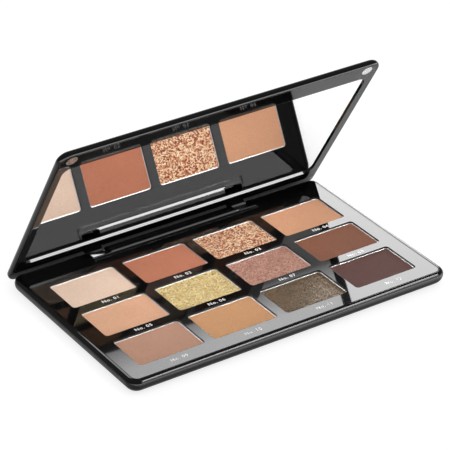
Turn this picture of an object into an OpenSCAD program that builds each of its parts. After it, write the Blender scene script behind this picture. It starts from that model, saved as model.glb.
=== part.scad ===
// Slim twelve-pan eyeshadow palette: a glossy clamshell case with a moulded pan tray,
// twelve pressed powders in tinplate pans, and a mirrored lid on a two-lug friction hinge.
// Millimetres. Origin at the centre of the flat underside, +X along the case, +Y to the hinge.
// The lid is drawn open by lid_open degrees, turned about the hinge pins.

/* [Case outline] */
// Overall width of the case
case_w = 151; // [146:1:164]
// Overall depth of the base, front edge to hinge edge
case_d = 95; // [92:1:108]
// Plan radius of the four case corners
corner_r = 5.3; // [5.1:0.1:7]

/* [Base] */
// Height of the base from the table to the top of its rim
base_h = 7.5; // [7.3:0.1:9.5]
// Radius that rounds the upper outer edge of the base
base_lip_r = 2.2; // [2:0.1:2.6]
// How far the curved underside reaches in from the edge
under_run = 8; // [7:0.5:9]
// Width of the rim beside the pan tray
rim_side = 2.15; // [1.8:0.05:2.4]
// Width of the rim in front of and behind the pan tray
rim_front = 1.6; // [1.4:0.05:2]
// Thickness of the base floor
floor_t = 1.2; // [1:0.1:1.4]
// Width of the ledge that carries the edge of the tray
ledge_w = 2.6; // [2:0.1:3]

/* [Pans] */
// Distance from the side of the case to the nearest windows of the tray
side_margin = 9.3; // [8.4:0.1:12]
// Distance from the back of the case to the nearest windows of the tray
back_margin = 15.2; // [14.4:0.1:18]
// Gap between neighbouring windows along X
gap_x = 4.15; // [3:0.05:4.6]
// Gap between neighbouring windows along Y
gap_y = 4.4; // [3:0.1:4.6]
// Corner radius of a window
win_r = 1.5; // [1:0.1:2.5]
// Distance from the front of the case to the nearest windows of the tray
front_margin = 9.2; // [8.6:0.1:12]
// Height of a pan
pan_h = 4.4; // [3.7:0.1:4.6]
// Wall thickness of a pan
pan_wall = 0.3; // [0.2:0.05:0.5]
// Depth of the pan rims below the tray face
pan_drop = 0.75; // [0.3:0.05:1]
// Depth of the powder surface below the pan rim
powder_drop = 0.15; // [0.1:0.01:0.8]

/* [Pan tray] */
// Thickness of the visible face of the tray
tray_t = 1.2; // [1:0.1:1.4]
// Wall thickness of the tray pockets
pocket_wall = 0.8; // [0.6:0.05:1]
// Diameter of the push-out hole under each pan
push_d = 5; // [3:0.5:7]

/* [Hinge] */
// How far the lid stands open
lid_open = 58; // [0:1:80]
// Height of the hinge pins above the table
pin_z = 2.12; // [2:0.02:2.3]
// Distance from the hinge pins to the back edge of the base
pin_back = 3.55; // [3.4:0.05:3.8]
// Diameter of the hinge pins
pin_d = 1.5; // [1.2:0.1:1.8]
// Radius of the hinge lugs around the pins
lug_r = 1.4; // [1.3:0.05:1.5]
// Distance from the pins to the front face of the lugs
lug_front = 1.9; // [1.7:0.1:2.1]
// Width of each hinge lug
lug_w = 7; // [6:0.2:8]
// Distance from the middle of the case to the inner side of a lug
lug_x = 31.8; // [28:0.2:32.6]
// Distance from the back edge of the base to the front edge of the hinge notch
notch_back = 9; // [8.6:0.1:9.4]
// Distance from the middle of the case to the sides of the hinge notch
notch_half = 40.7; // [40.4:0.1:42]
// Depth of the bar between the lugs, front to back
bar_d = 6.9; // [6.6:0.1:7.2]
// Drop of the groove along the front of the bar
bar_slope_h = 0.6; // [0.3:0.05:1]

/* [Lid] */
// Thickness of the lid
lid_t = 3.9; // [3.6:0.1:5]
// Gap between the rims of the closed case
lid_gap = 0.4; // [0.35:0.05:0.6]
// How far the lid stops short of the front edge of the base
lid_front_inset = 0.6; // [0.3:0.1:0.9]
// How far the lid stops short of the back edge of the base
lid_back_inset = 0.5; // [0.3:0.1:0.8]
// Radius that rounds the inner edge of the lid rim
lid_edge_r = 1.0; // [0.6:0.1:1.2]
// Width of the lid rim around the mirror frame
lid_rim = 1.25; // [1.2:0.05:1.5]
// Width of the solid rail along the hinge side of the lid
rail_w = 6.65; // [6.3:0.05:7]
// Slope of the rail's inner face, which clears the base as the lid turns
rail_slope = 4; // [3:0.5:6]
// How far the curved outer face reaches in from the lid edge
crown_run = 5; // [3:0.25:5.25]
// Height of the curved part of the lid edge
crown_h = 2.5; // [2:0.1:2.6]
// Thickness of the lid's outer wall
lid_wall = 1.2; // [1:0.1:1.3]

/* [Mirror] */
// Distance from the sides of the lid to the mirror opening
mirror_side = 4.2; // [3.6:0.1:12]
// Distance from the free edge of the lid to the mirror opening
mirror_front = 9.85; // [9:0.05:14]
// Distance from the hinge edge of the lid to the mirror opening
mirror_back = 12; // [11:0.1:14]
// Corner radius of the mirror
mirror_r = 4.2; // [3:0.2:8]
// Thickness of the mirror glass
mirror_t = 1.1; // [0.8:0.1:1.2]
// Thickness of the adhesive sheet behind the mirror
tape_t = 0.2; // [0.1:0.05:0.3]
// Depth of the mirror face below the frame face
mirror_sink = 0.65; // [0.4:0.05:0.8]

/* [Magnets] */
// Diameter of the closing magnets
mag_d = 4.8; // [4:0.1:5]
// Thickness of the magnets in the lid
lid_mag_t = 1; // [0.8:0.1:1.1]
// Thickness of the magnets in the base
base_mag_t = 2; // [1.5:0.1:2.4]
// Distance from the side edges of the case to the magnet centres
mag_side = 6.3; // [6:0.1:6.6]
// Distance from the front edge of the base to the magnet centres
mag_front = 5; // [4.8:0.1:5.2]

/* [Hidden] */
pan_cols = 4;           // columns of pans
pan_rows = 3;           // rows of pans
$fn = 48;
hull_fn = 32;           // facets round a hulled corner
cut = 1;                // how far a cutter runs past a face
seat = 0.08;            // gap between a drop-in part and the wall around it
tray_gap = 0.35;        // groove between the tray and the rim
pan_gap = 0.1;          // gap between a pan and its window
side_gap = 0.8;         // gap beside each hinge lug
swing_gap = 0.7;        // gap in front of each hinge lug
pin_run = 0.05;         // radial running clearance of a pin in its lug
arc_steps = 8;          // points along the upper edge rounding
sweep_steps = 12;       // points along the long edge curves
tray_drop = 0.1;        // tray face below the top of the rim
glue_t = 0.1;           // thickness of the glue under a pan
glue_d = 10;            // diameter of the glue under a pan
boss_wall = 1.2;        // plastic around a magnet in the base
mag_cover = 0.1;        // gap between a base magnet and the tray
mag_sink = 0.05;        // lid magnets sit this far below the frame face
frame_lip_t = 1.2;      // thickness of the mirror frame at its edge
frame_step = 0.75;      // inset of the mirror frame below its edge
pin_hold = 4;           // length of pin held in the hinge bar
rib_t = 2.1;            // thickness of the wall outside each lug
barrel_wall = 0.1;      // hinge barrel beyond the lug radius
lug_knee = 2.6;         // height above the pins where the lugs narrow
bar_slope_run = 1.3;    // run of the bar's front facet
bar_core_w = 44;        // width of the hollow under the bar
bar_core_d = 3.2;       // depth of the hollow under the bar
bar_core_h = 5.6;       // height of the hollow under the bar
powder_colours = ["bisque", "sienna", "peru", "tan", "burlywood", "khaki",
    "rosybrown", "saddlebrown", "rosybrown", "goldenrod", "darkolivegreen", "brown"];

back_y = case_d / 2;
front_y = -case_d / 2;
tray_top = base_h - tray_drop;
tray_under = tray_top - tray_t;
under_h = base_h - base_lip_r;              // height of the curved underside
grid_w = case_w - 2 * side_margin;
grid_back = back_y - back_margin;
win_w = (grid_w - (pan_cols - 1) * gap_x) / pan_cols;
win_d = (grid_back - front_y - front_margin - (pan_rows - 1) * gap_y) / pan_rows;
pan_top = tray_top - pan_drop;
pan_bottom = pan_top - pan_h;
glue_bottom = pan_bottom - glue_t;          // top of the pocket floors
powder_top = pan_top - powder_drop;
tray_w = case_w - 2 * rim_side;             // opening for the tray
tray_d = case_d - 2 * rim_front;
tray_r = corner_r - rim_side;
pin_y = back_y - pin_back;
notch_y = back_y - notch_back;
bar_half = lug_x - side_gap;
bar_y = back_y - bar_d;
slot_y = pin_y - lug_front - swing_gap;         // front of the lug slots
block_half = lug_x + lug_w + side_gap + rib_t;
block_y = notch_y - 1.2;                    // front of the solid hinge block
pin_r = pin_d / 2;
pin_in = lug_x - side_gap - pin_hold;
pin_len = pin_hold + 2 * side_gap + lug_w + rib_t;
lid_z = base_h + lid_gap;                   // rim face of the closed lid
lid_front = front_y + lid_front_inset;
lid_back = back_y - lid_back_inset;
lid_d = lid_back - lid_front;
lid_mid = (lid_back + lid_front) / 2;
lid_top = lid_z + lid_t;
lid_floor_z = lid_top - lid_wall;           // inner side of the lid's outer wall
mirror_z = lid_z + mirror_sink;             // face of the mirror, closed
mirror_hinge_y = lid_back - mirror_back;
mirror_w = case_w - 2 * mirror_side;
mirror_d = lid_d - mirror_front - mirror_back;
mirror_mid = mirror_hinge_y - mirror_d / 2;
rail_y = lid_back - rail_w;                 // front edge of the rail, closed
mirror_gap = 0.1;                           // gap between the glass and its frame
mag_x = case_w / 2 - mag_side;
mag_y = front_y + mag_front;

// Centre of pan i, counted from the back left
function pan_pos(i) = [
    -grid_w / 2 + win_w / 2 + (i % pan_cols) * (win_w + gap_x),
    grid_back - win_d / 2 - floor(i / pan_cols) * (win_d + gap_y)];

// Points of a quarter ellipse about c, from angle a0 to a1
function quarter(c, rx, rz, a0, a1, n) = [for (k = [0:n])
    c + [rx * cos(a0 + (a1 - a0) * k / n), rz * sin(a0 + (a1 - a0) * k / n)]];

// A box with rounded corners in plan, standing on z0
module plate(w, d, h, r, z0) {
    translate([0, 0, z0])
        linear_extrude(height = h)
            rounded(w, d, r);
}

module rounded(w, d, r) {
    square([w - 2 * r, d], center = true);
    square([w, d - 2 * r], center = true);
    for (sx = [-1, 1], sy = [-1, 1])
        translate([sx * (w / 2 - r), sy * (d / 2 - r)])
            circle(r = r);
}

// One edge profile turned round each of four corners
module corners(w, d, profile) {
    for (sx = [-1, 1], sy = [-1, 1])
        translate([sx * (w / 2 - corner_r), sy * (d / 2 - corner_r), 0])
            rotate_extrude($fn = hull_fn)
                polygon(profile);
}

// Turns what is drawn for the closed lid to the open position
module opened() {
    translate([0, pin_y, pin_z])
        rotate([-lid_open, 0, 0])
            translate([0, -pin_y, -pin_z])
                children();
}

// A cylinder along X about the hinge line
module on_hinge(r, x0, len) {
    translate([x0, pin_y, pin_z])
        rotate([0, 90, 0])
            cylinder(r = r, h = len);
}

// Both sides of the hinge
module both_sides() {
    for (s = [0, 1])
        mirror([s, 0, 0])
            children();
}

// Height of the curved underside at an inset from the edge
function under_z(inset) = under_h - under_h * sqrt(1 - pow((under_run - inset) / under_run, 2));

// Outer edge of the base in section, from the axis of a corner
base_profile = concat(
    [[0, base_h]],
    quarter([corner_r - base_lip_r, under_h], base_lip_r, base_lip_r, 90, 0, arc_steps),
    [for (k = [1:sweep_steps]) let (inset = corner_r * pow(k / sweep_steps, 2))
        [corner_r - inset, under_z(inset)]]);

// Solid outside of the base: the pillow carried down to the flat underside
module base_outside() {
    hull() {
        corners(case_w, case_d, base_profile);
        linear_extrude(height = cut)
            square([case_w - 2 * under_run, case_d - 2 * under_run], center = true);
    }
}

module base_shell() {
    color([0.05, 0.05, 0.055])
        difference() {
            union() {
                difference() {
                    base_outside();
                    base_cavity();
                }
                on_hinge(lug_r + barrel_wall, -block_half, 2 * block_half);
            }
            hinge_cuts();
            magnet_wells();
        }
}

// The hollow of the base, kept clear of the hinge block and the bar
module base_cavity() {
    difference() {
        plate(tray_w, tray_d, base_h, tray_r, tray_under);
        translate([-notch_half + tray_gap, notch_y + tray_gap, 0])
            cube([2 * (notch_half - tray_gap), case_d, tray_top]);
        translate([-notch_half + tray_gap, bar_y, 0])
            cube([2 * (notch_half - tray_gap), case_d, base_h + cut]);
    }
    difference() {
        plate(tray_w - 2 * ledge_w, tray_d - 2 * ledge_w, base_h - floor_t, win_r, floor_t);
        translate([-block_half, block_y, 0])
            cube([2 * block_half, case_d, base_h + cut]);
        magnet_bosses();
    }
}

module hinge_cuts() {
    both_sides() {
        translate([lug_x - side_gap, slot_y, -cut])
            cube([lug_w + 2 * side_gap, case_d, base_h + 2 * cut]);
        on_hinge(pin_r, pin_in, pin_len + cut);
    }
    // groove with a vertical front and a sloping back, along the front of the bar
    translate([-bar_half - cut, 0, 0])
        rotate([90, 0, 90])
            linear_extrude(height = 2 * (bar_half + cut))
                polygon([[bar_y, base_h - bar_slope_h], [bar_y + bar_slope_run, base_h],
                    [bar_y + bar_slope_run, base_h + cut], [bar_y, base_h + cut]]);
    // hollow under the bar
    translate([-bar_core_w / 2, pin_y - bar_core_d / 2, -cut])
        cube([bar_core_w, bar_core_d, bar_core_h + cut]);
}

module magnet_bosses() {
    both_sides()
        translate([mag_x, mag_y, 0])
            cylinder(d = mag_d + 2 * seat + 2 * boss_wall, h = tray_under - mag_cover);
}

module magnet_wells() {
    both_sides()
        translate([mag_x, mag_y, tray_under - mag_cover - base_mag_t])
            cylinder(d = mag_d + 2 * seat, h = base_mag_t + mag_cover);
}

module pan_tray() {
    color([0.06, 0.06, 0.065])
        difference() {
            union() {
                plate(tray_w - 2 * tray_gap, tray_d - 2 * tray_gap, tray_t, tray_r - tray_gap,
                    tray_under);
                for (i = [0:pan_cols * pan_rows - 1])
                    translate(pan_pos(i))
                        plate(win_w + 2 * pocket_wall, win_d + 2 * pocket_wall,
                            tray_under + tray_t / 2 - floor_t, win_r + pocket_wall, floor_t);
            }
            for (i = [0:pan_cols * pan_rows - 1])
                translate(pan_pos(i)) {
                    plate(win_w, win_d, tray_top, win_r, glue_bottom);
                    translate([0, 0, floor_t - cut])
                        cylinder(d = push_d, h = glue_bottom);
                }
            translate([-notch_half, notch_y, 0])
                cube([2 * notch_half, case_d, base_h + cut]);
        }
}

module pan_glue_pads() {
    color("gainsboro")
        for (i = [0:pan_cols * pan_rows - 1])
            translate(pan_pos(i))
                translate([0, 0, glue_bottom])
                    cylinder(d = glue_d, h = glue_t);
}

module pan(i) {
    w = win_w - 2 * pan_gap;
    d = win_d - 2 * pan_gap;
    r = win_r - pan_gap;
    if (i < pan_cols * pan_rows)
        color("silver")
            translate(pan_pos(i))
                difference() {
                    plate(w, d, pan_h, r, pan_bottom);
                    plate(w - 2 * pan_wall, d - 2 * pan_wall, pan_h, r - pan_wall,
                        pan_bottom + pan_wall);
                }
}

module powder(i) {
    inset = pan_gap + pan_wall;
    if (i < pan_cols * pan_rows)
        color(powder_colours[i])
            translate(pan_pos(i))
                plate(win_w - 2 * inset, win_d - 2 * inset, powder_top - pan_bottom - pan_wall,
                    win_r - inset, pan_bottom + pan_wall);
}

module base_magnet(side) {
    color("lightsteelblue")
        translate([side * mag_x, mag_y, tray_under - mag_cover - base_mag_t])
            cylinder(d = mag_d, h = base_mag_t);
}

module hinge_pin(side) {
    color("lightgrey")
        mirror([side < 0 ? 1 : 0, 0, 0])
            on_hinge(pin_r, pin_in, pin_len);
}

// Outer edge of the lid in section, from the axis of a corner, rim face down
lid_profile = concat(
    [[0, lid_z]],
    quarter([corner_r - lid_edge_r, lid_z + lid_edge_r], lid_edge_r, lid_edge_r, -90, 0, arc_steps),
    quarter([corner_r - crown_run, lid_top - crown_h], crown_run, crown_h, 0, 90, sweep_steps),
    [[0, lid_top]]);

module lid_shell() {
    color([0.05, 0.05, 0.055])
        opened()
            difference() {
                union() {
                    difference() {
                        translate([0, lid_mid, 0])
                            hull()
                                corners(case_w, lid_d, lid_profile);
                        frame_space(lid_rim);
                        rail_face();
                    }
                    both_sides()
                        lug();
                }
                both_sides()
                    on_hinge(pin_r + pin_run, lug_x - cut, lug_w + 2 * cut);
            }
}

// The space the mirror frame fills in the lid, at an inset from its sides
module frame_space(inset) {
    d = rail_y - lid_front - 2 * inset + lid_rim;
    translate([0, (rail_y + lid_front + lid_rim) / 2, 0]) {
        plate(case_w - 2 * inset, d, frame_lip_t + lid_rim - inset + cut, corner_r - inset,
            lid_z + inset - lid_rim - cut);
        plate(case_w - 2 * (inset + frame_step), d - 2 * frame_step, lid_floor_z - lid_z,
            corner_r - inset, lid_z);
    }
}

// Cutter that slopes the rail's inner face
module rail_face() {
    run = lid_back + cut - rail_y;
    translate([-case_w / 2 - cut, 0, 0])
        rotate([90, 0, 90])
            linear_extrude(height = case_w + 2 * cut)
                polygon([[rail_y, lid_z], [rail_y, lid_z - cut], [rail_y + run, lid_z - cut],
                    [rail_y + run, lid_z + run * tan(rail_slope)]]);
}

// A hinge lug of the closed lid
module lug() {
    on_hinge(lug_r, lug_x, lug_w);
    translate([lug_x, pin_y, pin_z])
        rotate([90, 0, 90])
            linear_extrude(height = lug_w)
                polygon([[-lug_r, 0], [lug_r, 0], [lug_r, lid_z + lid_t / 2 - pin_z],
                    [-lug_front, lid_z + lid_t / 2 - pin_z], [-lug_front, lug_knee]]);
}

module mirror_frame() {
    color([0.06, 0.06, 0.065])
        opened()
            difference() {
                intersection() {
                    frame_space(lid_rim + seat);
                    translate([-case_w / 2, -case_d / 2, lid_z])
                        cube([case_w, case_d, lid_floor_z - lid_z]);
                }
                translate([0, mirror_mid, 0])
                    plate(mirror_w, mirror_d, mirror_sink + mirror_t + tape_t + cut, mirror_r,
                        lid_z - cut);
                both_sides()
                    translate([mag_x, mag_y, lid_z - cut])
                        cylinder(d = mag_d + 2 * seat, h = cut + mag_sink + lid_mag_t);
            }
}

module mirror_glass() {
    color([0.8, 0.84, 0.86])
        opened()
            translate([0, mirror_mid, 0])
                plate(mirror_w - 2 * mirror_gap, mirror_d - 2 * mirror_gap, mirror_t,
                    mirror_r - mirror_gap, mirror_z);
}

module mirror_tape() {
    inset = 3 * mirror_gap;
    color("white")
        opened()
            translate([0, mirror_mid, 0])
                plate(mirror_w - 2 * inset, mirror_d - 2 * inset, tape_t, mirror_r - inset,
                    mirror_z + mirror_t);
}

module lid_magnet(side) {
    color("silver")
        opened()
            translate([side * mag_x, mag_y, lid_z + mag_sink])
                cylinder(d = mag_d, h = lid_mag_t);
}

base_shell();
pan_tray();
pan_glue_pads();
pan(0);  // pan_01
pan(1);  // pan_02
pan(2);  // pan_03
pan(3);  // pan_04
pan(4);  // pan_05
pan(5);  // pan_06
pan(6);  // pan_07
pan(7);  // pan_08
pan(8);  // pan_09
pan(9);  // pan_10
pan(10);  // pan_11
pan(11);  // pan_12
powder(0);  // powder_01
powder(1);  // powder_02
powder(2);  // powder_03
powder(3);  // powder_04
powder(4);  // powder_05
powder(5);  // powder_06
powder(6);  // powder_07
powder(7);  // powder_08
powder(8);  // powder_09
powder(9);  // powder_10
powder(10);  // powder_11
powder(11);  // powder_12
base_magnet(-1);  // base_magnet_left
base_magnet(1);  // base_magnet_right
hinge_pin(-1);  // hinge_pin_left
hinge_pin(1);  // hinge_pin_right
lid_shell();
mirror_frame();
mirror_tape();
mirror_glass();
lid_magnet(-1);  // lid_magnet_left
lid_magnet(1);  // lid_magnet_right
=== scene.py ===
"""Looks for the twelve-pan eyeshadow palette: materials, number labels, studio and camera."""
import math

import bmesh
import bpy
from mathutils import Matrix, Vector


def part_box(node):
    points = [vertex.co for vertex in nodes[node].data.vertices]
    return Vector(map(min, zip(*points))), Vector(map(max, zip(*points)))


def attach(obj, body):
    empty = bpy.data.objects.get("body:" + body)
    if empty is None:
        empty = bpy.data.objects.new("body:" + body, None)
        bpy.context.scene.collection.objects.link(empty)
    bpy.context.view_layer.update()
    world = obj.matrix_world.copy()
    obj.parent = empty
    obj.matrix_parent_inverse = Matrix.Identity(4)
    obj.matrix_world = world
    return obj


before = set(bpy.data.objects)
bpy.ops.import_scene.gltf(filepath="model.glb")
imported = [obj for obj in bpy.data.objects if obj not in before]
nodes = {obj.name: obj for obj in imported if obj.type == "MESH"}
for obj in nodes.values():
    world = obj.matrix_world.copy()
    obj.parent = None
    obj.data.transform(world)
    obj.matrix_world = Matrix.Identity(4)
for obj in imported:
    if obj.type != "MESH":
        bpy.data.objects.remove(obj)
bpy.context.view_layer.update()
scene = bpy.context.scene
MM = 0.001
PANS = 12
ROW = 4

# ---------------------------------------------------------------- materials


class Mat:
    """A small helper that builds one node material."""

    def __init__(self, name):
        self.m = bpy.data.materials.new(name)
        self.m.use_nodes = True
        self.t = self.m.node_tree
        self.b = next(n for n in self.t.nodes if n.type == "BSDF_PRINCIPLED")
        self.coord = None

    def add(self, kind, **props):
        n = self.t.nodes.new(kind)
        for k, v in props.items():
            setattr(n, k, v)
        return n

    def link(self, a, b):
        self.t.links.new(a, b)

    def set(self, **values):
        for k, v in values.items():
            self.b.inputs[k.replace("_", " ")].default_value = v

    def pos(self):
        if self.coord is None:
            self.coord = self.add("ShaderNodeTexCoord").outputs["Object"]
        return self.coord

    def noise(self, scale, detail=2.0, rough=0.5):
        n = self.add("ShaderNodeTexNoise")
        n.inputs["Scale"].default_value = scale
        n.inputs["Detail"].default_value = detail
        n.inputs["Roughness"].default_value = rough
        self.link(self.pos(), n.inputs["Vector"])
        return n

    def cells(self, scale):
        n = self.add("ShaderNodeTexVoronoi")
        n.inputs["Scale"].default_value = scale
        self.link(self.pos(), n.inputs["Vector"])
        return n

    def ramp(self, source, lo, hi, a, b):
        """Maps source from lo..hi to a..b."""
        n = self.add("ShaderNodeMapRange")
        for k, v in zip(("From Min", "From Max", "To Min", "To Max"), (lo, hi, a, b)):
            n.inputs[k].default_value = v
        self.link(source, n.inputs["Value"])
        return n.outputs["Result"]

    def mix(self, factor, a, b):
        """A colour mix by the socket factor; a and b are colours or sockets."""
        n = self.add("ShaderNodeMix", data_type="RGBA")
        sockets = [i for i in n.inputs if i.type == "RGBA"]
        self.link(factor, n.inputs[0])
        for s, v in zip(sockets, (a, b)):
            if isinstance(v, (tuple, list)):
                s.default_value = (*v[:3], 1)
            else:
                self.link(v, s)
        return next(o for o in n.outputs if o.type == "RGBA")

    def bump(self, height, distance, strength=1.0, normal=None):
        n = self.add("ShaderNodeBump")
        n.inputs["Distance"].default_value = distance
        n.inputs["Strength"].default_value = strength
        self.link(height, n.inputs["Height"])
        if normal is not None:
            self.link(normal, n.inputs["Normal"])
        return n.outputs["Normal"]

    def edges(self, radius):
        """Normals with the hard edges softened by a small radius."""
        n = self.add("ShaderNodeBevel", samples=6)
        n.inputs["Radius"].default_value = radius
        return n.outputs["Normal"]


def srgb(r, g, b):
    """The linear colour of an sRGB one given as 0 to 255."""
    return tuple(
        c / 255 / 12.92 if c / 255 <= 0.04045 else ((c / 255 + 0.055) / 1.055) ** 2.4
        for c in (r, g, b)
    )


def gloss_black(name, level, rough, edge, ior):
    """Polished black plastic; edge is the radius that its hard edges are softened by."""
    m = Mat(name)
    m.set(Base_Color=(level, level, level * 1.04, 1), Roughness=rough, IOR=ior)
    soft = m.edges(edge)
    wave = m.noise(45, 1.0)
    m.link(m.bump(wave.outputs["Fac"], 0.00002, 0.25, soft), m.b.inputs["Normal"])
    dust = m.noise(500, 2.0, 0.6)
    sheen = m.ramp(dust.outputs["Fac"], 0.35, 0.75, rough, rough * 1.3)
    m.link(sheen, m.b.inputs["Roughness"])
    return m.m


def matte_powder(name, colour):
    """A pressed matte powder: soft patches of tone with fine pale and dark grains."""
    m = Mat(name)
    big = m.noise(90, 2.0, 0.5)
    fine = m.noise(3000, 3.0, 0.65)
    dark = tuple(c * 0.97 for c in colour)
    light = tuple(min(1, c * 1.03) for c in colour)
    tone = m.mix(m.ramp(big.outputs["Fac"], 0.3, 0.7, 0, 1), dark, light)
    pale = tuple(min(1, c * 1.2 + 0.015) for c in colour)
    speck = m.mix(m.ramp(fine.outputs["Fac"], 0.5, 0.7, 0, 0.6), tone, pale)
    deep = tuple(c * 0.75 for c in colour)
    speck = m.mix(m.ramp(fine.outputs["Fac"], 0.48, 0.32, 0, 0.5), speck, deep)
    m.link(speck, m.b.inputs["Base Color"])
    m.set(Roughness=0.9, Specular_IOR_Level=0.1)
    m.link(m.bump(fine.outputs["Fac"], 0.00004, 0.5), m.b.inputs["Normal"])
    return m.m


def shimmer_powder(name, tones, cell, spread, metal, rough=0.4):
    """A pearl or glitter powder: flat flakes of several tones, each tilted its own way."""
    m = Mat(name)
    cells = m.cells(cell)
    small = m.cells(cell * 2.1)
    pick = []
    for source in (cells, small):
        sep = m.add("ShaderNodeSeparateColor")
        m.link(source.outputs["Color"], sep.inputs[0])
        pick.append(sep.outputs[0])
    big_part = m.ramp(pick[0], 0, 1, 0, 0.62)
    small_part = m.ramp(pick[1], 0, 1, 0, 0.38)
    both = m.add("ShaderNodeMath", operation="ADD")
    m.link(big_part, both.inputs[0])
    m.link(small_part, both.inputs[1])
    ramp = m.add("ShaderNodeValToRGB")
    stops = ramp.color_ramp.elements
    while len(stops) < len(tones):
        stops.new(0.5)
    for stop, (place, colour) in zip(stops, tones):
        stop.position = place
        stop.color = (*colour, 1)
    m.link(both.outputs[0], ramp.inputs[0])
    m.link(ramp.outputs[0], m.b.inputs["Base Color"])
    m.set(Roughness=rough, Metallic=metal, Specular_IOR_Level=0.15)

    def tilt(source, amount):
        off = m.add("ShaderNodeVectorMath", operation="SUBTRACT")
        off.inputs[1].default_value = (0.5, 0.5, 0.5)
        m.link(source, off.inputs[0])
        k = m.add("ShaderNodeVectorMath", operation="SCALE")
        k.inputs["Scale"].default_value = amount
        m.link(off.outputs[0], k.inputs[0])
        return k.outputs[0]

    geo = m.add("ShaderNodeNewGeometry")
    total = m.add("ShaderNodeVectorMath", operation="ADD")
    m.link(tilt(cells.outputs["Color"], spread), total.inputs[0])
    m.link(tilt(small.outputs["Color"], spread * 0.6), total.inputs[1])
    full = m.add("ShaderNodeVectorMath", operation="ADD")
    m.link(total.outputs[0], full.inputs[0])
    m.link(geo.outputs["Normal"], full.inputs[1])
    unit = m.add("ShaderNodeVectorMath", operation="NORMALIZE")
    m.link(full.outputs[0], unit.inputs[0])
    m.link(unit.outputs[0], m.b.inputs["Normal"])
    return m.m


def metal(name, colour, rough, brushed, metallic=1.0, edge=0.00008):
    """A satin metal; brushed is the depth of its grain, edge the softening of its edges."""
    m = Mat(name)
    m.set(Base_Color=(*colour, 1), Metallic=metallic)
    n = m.noise(700, 3.0, 0.6)
    satin = m.ramp(n.outputs["Fac"], 0.3, 0.7, rough * 0.8, rough * 1.25)
    m.link(satin, m.b.inputs["Roughness"])
    m.link(m.bump(n.outputs["Fac"], brushed, 0.5, m.edges(edge)), m.b.inputs["Normal"])
    return m.m


def plain(name, colour, rough):
    m = Mat(name)
    m.set(Base_Color=(*colour, 1), Roughness=rough)
    n = m.noise(1200, 2.0)
    m.link(m.bump(n.outputs["Fac"], 0.00002, 0.3), m.b.inputs["Normal"])
    return m.m


mirror_mat = Mat("mirror_silver_look")
mirror_mat.set(Base_Color=(0.94, 0.94, 0.94, 1), Metallic=1.0)
haze = mirror_mat.noise(30, 3.0, 0.6)
mirror_mat.link(
    mirror_mat.ramp(haze.outputs["Fac"], 0.3, 0.8, 0.0, 0.012),
    mirror_mat.b.inputs["Roughness"],
)

case_mat = gloss_black("case_black_look", 0.003, 0.05, 0.00012, 1.3)
tray_mat = gloss_black("tray_black_look", 0.002, 0.035, 0.0001, 1.3)
frame_mat = gloss_black("frame_black_look", 0.003, 0.04, 0.0001, 1.38)
tin_mat = metal("tinplate_look", (0.93, 0.93, 0.93), 0.2, 0.00001, 0.6, 0.00015)
pin_mat = metal("steel_pin_look", (0.6, 0.6, 0.61), 0.25, 0.00001)
magnet_mat = metal("magnet_nickel_look", (0.62, 0.62, 0.62), 0.28, 0.00001)
tape_mat = plain("tape_white_look", (0.8, 0.8, 0.78), 0.7)
glue_mat = plain("glue_clear_look", (0.75, 0.72, 0.6), 0.35)

COPPER = [
    (0.2, srgb(98, 36, 18)), (0.36, srgb(147, 74, 45)), (0.5, srgb(183, 126, 89)),
    (0.64, srgb(210, 171, 133)), (0.78, srgb(222, 211, 183)),
]
GOLD = [
    (0.15, srgb(128, 98, 50)), (0.4, srgb(175, 149, 92)), (0.65, srgb(194, 176, 122)),
    (0.9, srgb(216, 207, 173)),
]
MAUVE = [
    (0.15, srgb(105, 64, 54)), (0.4, srgb(141, 95, 80)), (0.65, srgb(157, 116, 101)),
    (0.9, srgb(187, 159, 138)),
]
OLIVE = [
    (0.15, srgb(34, 23, 5)), (0.4, srgb(61, 43, 17)), (0.65, srgb(79, 56, 24)),
    (0.9, srgb(120, 93, 46)),
]
POWDERS = [
    matte_powder("powder_cream_look", srgb(208, 182, 163)),
    matte_powder("powder_terracotta_look", srgb(167, 107, 83)),
    shimmer_powder("powder_copper_look", COPPER, 1750, 0.7, 0.15, 0.4),
    matte_powder("powder_tan_look", srgb(189, 140, 109)),
    matte_powder("powder_peach_look", srgb(201, 155, 126)),
    shimmer_powder("powder_gold_look", GOLD, 2300, 0.6, 0.3),
    shimmer_powder("powder_mauve_look", MAUVE, 2500, 0.6, 0.3),
    matte_powder("powder_redbrown_look", srgb(123, 80, 61)),
    matte_powder("powder_taupe_look", srgb(176, 136, 115)),
    matte_powder("powder_caramel_look", srgb(189, 142, 103)),
    shimmer_powder("powder_olive_look", OLIVE, 2500, 0.5, 0.25),
    matte_powder("powder_plum_look", srgb(93, 65, 60)),
]

LOOKS = {
    "base_shell": case_mat,
    "lid_shell": case_mat,
    "pan_tray": tray_mat,
    "mirror_frame": frame_mat,
    "mirror_glass": mirror_mat.m,
    "mirror_tape": tape_mat,
    "pan_glue_pads": glue_mat,
    "base_magnet_left": magnet_mat,
    "base_magnet_right": magnet_mat,
    "lid_magnet_left": magnet_mat,
    "lid_magnet_right": magnet_mat,
    "hinge_pin_left": pin_mat,
    "hinge_pin_right": pin_mat,
}
for i in range(PANS):
    LOOKS[f"pan_{i + 1:02d}"] = tin_mat
    LOOKS[f"powder_{i + 1:02d}"] = POWDERS[i]
for name, mat in LOOKS.items():
    mesh = nodes[name].data
    mesh.materials.clear()
    mesh.materials.append(mat)


# ------------------------------------------------- smooth shading of the round edges


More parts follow.
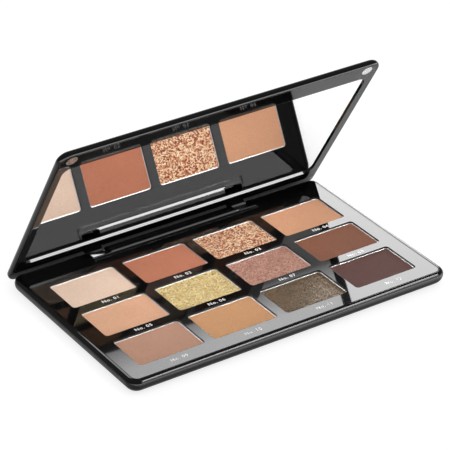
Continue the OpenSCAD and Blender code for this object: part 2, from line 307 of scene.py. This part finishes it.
def smoothing_group():
    """Welds a node's split vertices, drops its stored normals and marks sharp edges by angle."""
    g = bpy.data.node_groups.new("smooth_round_edges", "GeometryNodeTree")
    g.interface.new_socket("Geometry", in_out="INPUT", socket_type="NodeSocketGeometry")
    g.interface.new_socket("Geometry", in_out="OUTPUT", socket_type="NodeSocketGeometry")
    g.is_modifier = True
    start = g.nodes.new("NodeGroupInput")
    end = g.nodes.new("NodeGroupOutput")
    weld = g.nodes.new("GeometryNodeMergeByDistance")
    weld.inputs["Distance"].default_value = 0.000002
    drop = g.nodes.new("GeometryNodeRemoveAttribute")
    drop.inputs["Name"].default_value = "custom_normal"
    faces = g.nodes.new("GeometryNodeSetShadeSmooth")
    faces.domain = "FACE"
    edges = g.nodes.new("GeometryNodeSetShadeSmooth")
    edges.domain = "EDGE"
    edges.inputs["Shade Smooth"].default_value = False
    angle = g.nodes.new("GeometryNodeInputMeshEdgeAngle")
    above = g.nodes.new("FunctionNodeCompare")
    above.data_type = "FLOAT"
    above.operation = "GREATER_THAN"
    above.inputs[1].default_value = math.radians(24)
    g.links.new(start.outputs[0], weld.inputs["Geometry"])
    g.links.new(weld.outputs["Geometry"], drop.inputs["Geometry"])
    g.links.new(drop.outputs["Geometry"], faces.inputs["Geometry"])
    g.links.new(faces.outputs["Geometry"], edges.inputs["Geometry"])
    g.links.new(angle.outputs["Unsigned Angle"], above.inputs[0])
    g.links.new(above.outputs[0], edges.inputs["Selection"])
    g.links.new(edges.outputs["Geometry"], end.inputs[0])
    return g


smooth = smoothing_group()
for name in ("base_shell", "lid_shell"):
    o = nodes[name]
    mod = o.modifiers.new("smooth", "NODES")
    mod.node_group = smooth
    wn = o.modifiers.new("weighted", "WEIGHTED_NORMAL")
    wn.keep_sharp = True
    wn.weight = 80

# ------------------------------------------------------------- number labels

LABEL_SIZE = 2.5 * MM
LABEL_WEIGHT = 0.03 * MM
LABEL_THICK = 0.012 * MM
LABEL_SIDE = 0.6 * MM
LABEL_AHEAD = 2.4 * MM
LABEL_AHEAD_FRONT_ROW = 3.6 * MM

label_mat = plain("label_white", (0.9, 0.9, 0.9), 0.55)
tray_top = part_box("pan_tray")[1].z
for i in range(PANS):
    lo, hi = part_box(f"pan_{i + 1:02d}")
    curve = bpy.data.curves.new(f"number_{i + 1:02d}", "FONT")
    curve.body = f"No. {i + 1:02d}"
    curve.size = LABEL_SIZE
    curve.offset = LABEL_WEIGHT
    curve.space_character = 1.15
    curve.align_x = "CENTER"
    curve.align_y = "CENTER"
    curve.resolution_u = 3
    text = bpy.data.objects.new("text", curve)
    scene.collection.objects.link(text)
    bpy.context.view_layer.update()
    mesh = bpy.data.meshes.new_from_object(text)
    bpy.data.objects.remove(text)
    mesh.name = f"number_{i + 1:02d}"
    bm = bmesh.new()
    bm.from_mesh(mesh)
    out = bmesh.ops.extrude_face_region(bm, geom=list(bm.faces))
    top = [v for v in out["geom"] if isinstance(v, bmesh.types.BMVert)]
    bmesh.ops.translate(bm, verts=top, vec=(0, 0, LABEL_THICK))
    bmesh.ops.recalc_face_normals(bm, faces=list(bm.faces))
    bm.to_mesh(mesh)
    bm.free()
    mesh.materials.clear()
    mesh.materials.append(label_mat)
    o = bpy.data.objects.new(f"number_{i + 1:02d}", mesh)
    scene.collection.objects.link(o)
    ahead = LABEL_AHEAD_FRONT_ROW if i >= PANS - ROW else LABEL_AHEAD
    o.location = ((lo.x + hi.x) / 2 + LABEL_SIDE, lo.y - ahead, tray_top)
    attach(o, "base")

# --------------------------------------------------------------------- studio


def card(name, centre, target, width, height, strength, diffuse=True):
    """A flat soft lamp at centre, facing target; without diffuse it only shows in gloss."""
    lamp = bpy.data.lights.new(name, "AREA")
    lamp.shape = "RECTANGLE"
    lamp.size = width
    lamp.size_y = height
    lamp.energy = strength * width * height * math.pi
    o = bpy.data.objects.new(name, lamp)
    scene.collection.objects.link(o)
    o.location = centre
    o.rotation_euler = (Vector(target) - Vector(centre)).to_track_quat("-Z", "Y").to_euler()
    o.visible_camera = False
    o.visible_diffuse = diffuse
    o.visible_glossy = not diffuse
    if not diffuse:
        o.light_linking.receiver_collection = unlit


# the lid shell takes no light from the gloss cards, so that its outside stays dark
unlit = bpy.data.collections.new("no_gloss_cards")
unlit.objects.link(nodes["lid_shell"])
unlit.collection_objects[0].light_linking.link_state = "EXCLUDE"

bm = bmesh.new()
bmesh.ops.create_grid(bm, x_segments=1, y_segments=1, size=3.0)
mesh = bpy.data.meshes.new("floor")
bm.to_mesh(mesh)
bm.free()
floor = bpy.data.objects.new("floor", mesh)
scene.collection.objects.link(floor)
floor.location = (0, 0, -0.00002)
fm = Mat("floor_white")
fm.set(Roughness=1.0, Specular_IOR_Level=0.0)
fm.b.inputs["Emission Color"].default_value = (1, 1, 1, 1)
path = fm.add("ShaderNodeLightPath")
seen, gloss = path.outputs["Is Camera Ray"], path.outputs["Is Glossy Ray"]
albedo = fm.mix(seen, (0.8, 0.8, 0.8), (0.3, 0.3, 0.3))
fm.link(albedo, fm.b.inputs["Base Color"])
place = fm.add("ShaderNodeSeparateXYZ")
fm.link(fm.pos(), place.inputs[0])


def fm_math(operation, a, b):
    n = fm.add("ShaderNodeMath", operation=operation)
    for socket, v in zip(n.inputs, (a, b)):
        if isinstance(v, float):
            socket.default_value = v
        else:
            fm.link(v, socket)
    return n.outputs[0]


FLOOR_SEEN = 0.79

# painted light: in gloss the floor glows like a lit table, brightest ahead of the case and
# towards the right, with painted shadow (no glow) under the case
px, py = place.outputs[0], place.outputs[1]
ahead = fm.ramp(py, -0.05, -0.085, 0.0, 7.0)
in_front = fm.ramp(py, -0.046, -0.05, 0.0, 1.0)
right = fm_math("MULTIPLY", fm.ramp(px, -0.04, 0.08, 0.0, 1.6), in_front)
painted_table_glow = fm_math("ADD", fm_math("ADD", ahead, right), 0.4)
# painted shadow: the glow fades to nothing over 4 mm towards the case's footprint and is off
# under it
edge = fm_math("SUBTRACT", fm_math("ABSOLUTE", px, 0.0), 0.076)
edge = fm_math("MAXIMUM", edge, fm_math("SUBTRACT", py, 0.064))
edge = fm_math("MAXIMUM", edge, fm_math("SUBTRACT", fm_math("MULTIPLY", py, -1.0), 0.0485))
painted_table_glow = fm_math("MULTIPLY", painted_table_glow, fm.ramp(edge, 0.0, 0.004, 0.0, 1.0))
shown = fm.add("ShaderNodeMath", operation="MULTIPLY")
fm.link(painted_table_glow, shown.inputs[0])
fm.link(gloss, shown.inputs[1])
glow = fm.add("ShaderNodeMath", operation="MULTIPLY_ADD")
fm.link(seen, glow.inputs[0])
glow.inputs[1].default_value = FLOOR_SEEN
fm.link(shown.outputs[0], glow.inputs[2])
fm.link(glow.outputs[0], fm.b.inputs["Emission Strength"])
mesh.materials.append(fm.m)

world = bpy.data.worlds.new("studio")
scene.world = world
world.use_nodes = True
wt = world.node_tree
bg = next(n for n in wt.nodes if n.type == "BACKGROUND")
path = wt.nodes.new("ShaderNodeLightPath")


def weigh(source, factor, plus):
    """Adds factor x source to plus, a socket or a number."""
    n = wt.nodes.new("ShaderNodeMath")
    n.operation = "MULTIPLY_ADD"
    wt.links.new(source, n.inputs[0])
    n.inputs[1].default_value = factor
    if isinstance(plus, float):
        n.inputs[2].default_value = plus
    else:
        wt.links.new(plus, n.inputs[2])
    return n.outputs[0]


SKY = 0.6
SKY_IN_GLOSS = 0.35
level = weigh(path.outputs["Is Camera Ray"], 1.0 - SKY, SKY)
level = weigh(path.outputs["Is Glossy Ray"], SKY_IN_GLOSS - SKY, level)
wt.links.new(level, bg.inputs["Strength"])
bg.inputs["Color"].default_value = (1, 1, 1, 1)

card("key_front", (-0.2, -0.75, 1.0), (0, 0, 0), 1.1, 0.9, 1.95)
card("back_right", (0.6, 0.92, 0.5), (0.05, 0, 0.02), 0.75, 0.95, 12.0, False)
card("front_strip", (0.55, -0.845, 0.615), (0, 0.035, 0.012), 0.42, 0.13, 28.0, False)
card("front_high", (0.57, -0.65, 0.8), (0, 0.041, 0.007), 0.5, 0.14, 44.0, False)
card("front_box", (0.55, -1.03, 0.3), (0, 0.03, 0.02), 0.9, 0.42, 4.0, False)

# --------------------------------------------------------------------- camera

RIGHT = Vector((0.8357796, -0.5490513, -0.0038930))
DOWN = Vector((-0.2767693, -0.4151603, -0.8666260))
AHEAD = Vector((0.4742060, 0.7253858, -0.4989431))
cam_data = bpy.data.cameras.new("camera")
SENSOR = 36
FOCAL_PIXELS = 2435.508
PHOTO_WIDTH = 450
cam_data.sensor_width = SENSOR
cam_data.lens = SENSOR * FOCAL_PIXELS / PHOTO_WIDTH
cam_data.clip_start = 0.05
cam_data.clip_end = 30
cam = bpy.data.objects.new("camera", cam_data)
scene.collection.objects.link(cam)
turn = Matrix((RIGHT, -DOWN, -AHEAD)).transposed().to_4x4()
cam.matrix_world = Matrix.Translation(Vector((-465.120, -708.291, 517.857)) * MM) @ turn
scene.camera = cam
scene.view_settings.view_transform = "Standard"
